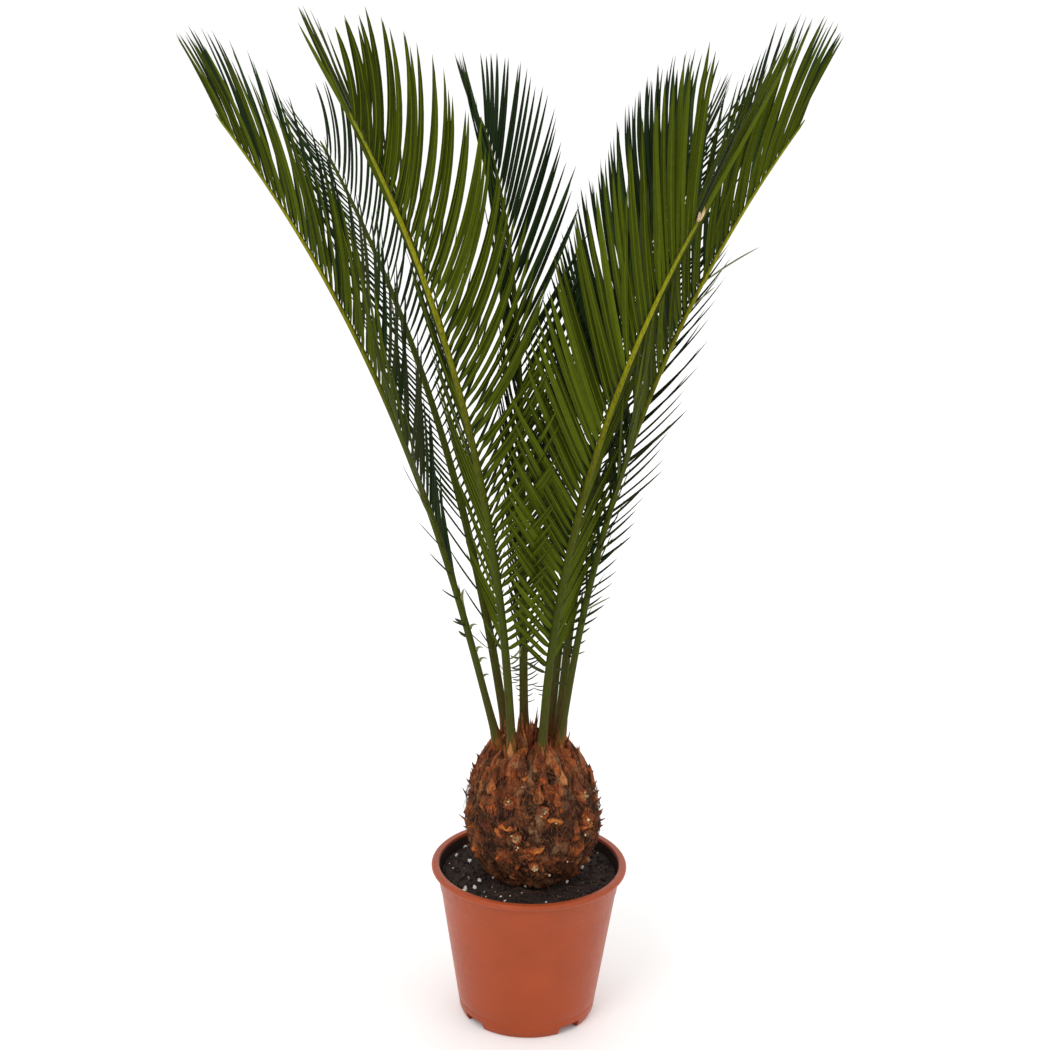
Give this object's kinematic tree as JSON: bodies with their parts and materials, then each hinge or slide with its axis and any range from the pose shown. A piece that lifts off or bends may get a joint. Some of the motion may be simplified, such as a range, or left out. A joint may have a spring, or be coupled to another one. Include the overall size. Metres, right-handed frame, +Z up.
{
  "type": "potted sago palm",
  "caption": "Young sago palm with a ball-shaped trunk of leaf bases and a loose upright crown of feathery fronds, in a round tapered plastic nursery pot.",
  "frame": {"origin": "centre of the pot's underside, on the surface that the pot stands on", "axes": "+Z up along the pot's axis; -Y towards the side that the picture shows, +X to its right"},
  "size_m": [0.5091, 0.4137, 0.8804],
  "materials": {
    "pot": "satin terracotta coloured moulding",
    "soil": "loose dark peat with white perlite",
    "trunk": "rough cut leaf bases and brown fibre",
    "scales": "dry brown scales",
    "lit_leaf": "satin mid green leaf",
    "dark_leaf": "satin dark green leaf"
  },
  "bodies": {
    "root": {"pot": "pot", "soil": "soil", "trunk": "trunk", "crown_scales": "scales", "frond_left": "lit_leaf", "frond_left_front": "lit_leaf", "frond_right": "lit_leaf", "frond_right_front": "lit_leaf", "frond_left_rear": "dark_leaf", "frond_rear": "dark_leaf", "frond_rear_right": "dark_leaf", "frond_right_rear": "dark_leaf"}
  },
  "joints": []
}
